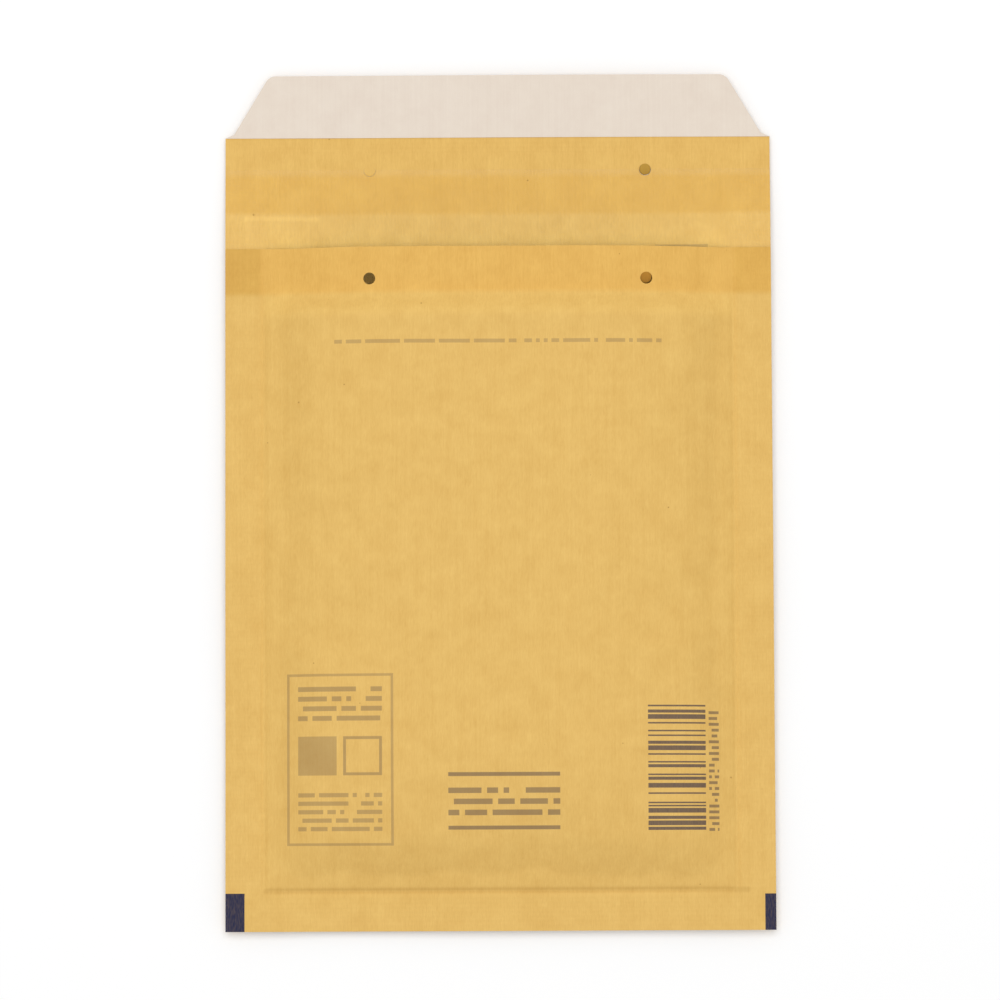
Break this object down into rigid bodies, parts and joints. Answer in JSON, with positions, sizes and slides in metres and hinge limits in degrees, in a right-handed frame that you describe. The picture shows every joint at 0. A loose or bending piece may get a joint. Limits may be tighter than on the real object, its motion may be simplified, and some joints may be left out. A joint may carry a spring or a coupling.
{
  "type": "padded envelope",
  "caption": "Kraft paper mailing envelope lined with bubble film, lying open, with sealed sides and a self-seal flap under a peel-off liner.",
  "frame": {"origin": "under the middle of the whole outline, flap included, on the surface that the envelope lies on", "axes": "+X across the envelope, +Y from its sealed bottom edge to the end of its flap, +Z out of its front"},
  "size_m": [0.17, 0.2664, 0.0128],
  "materials": {
    "kraft": "matte golden kraft paper",
    "bubble_film": "milky translucent film",
    "adhesive": "clear tacky hot-melt",
    "liner": "off-white siliconised paper"
  },
  "bodies": {
    "root": {"back_sheet": "kraft", "front_sheet": "kraft", "back_lining": "bubble_film", "front_lining": "bubble_film", "adhesive_strip": "adhesive", "release_liner": "liner"}
  },
  "joints": []
}
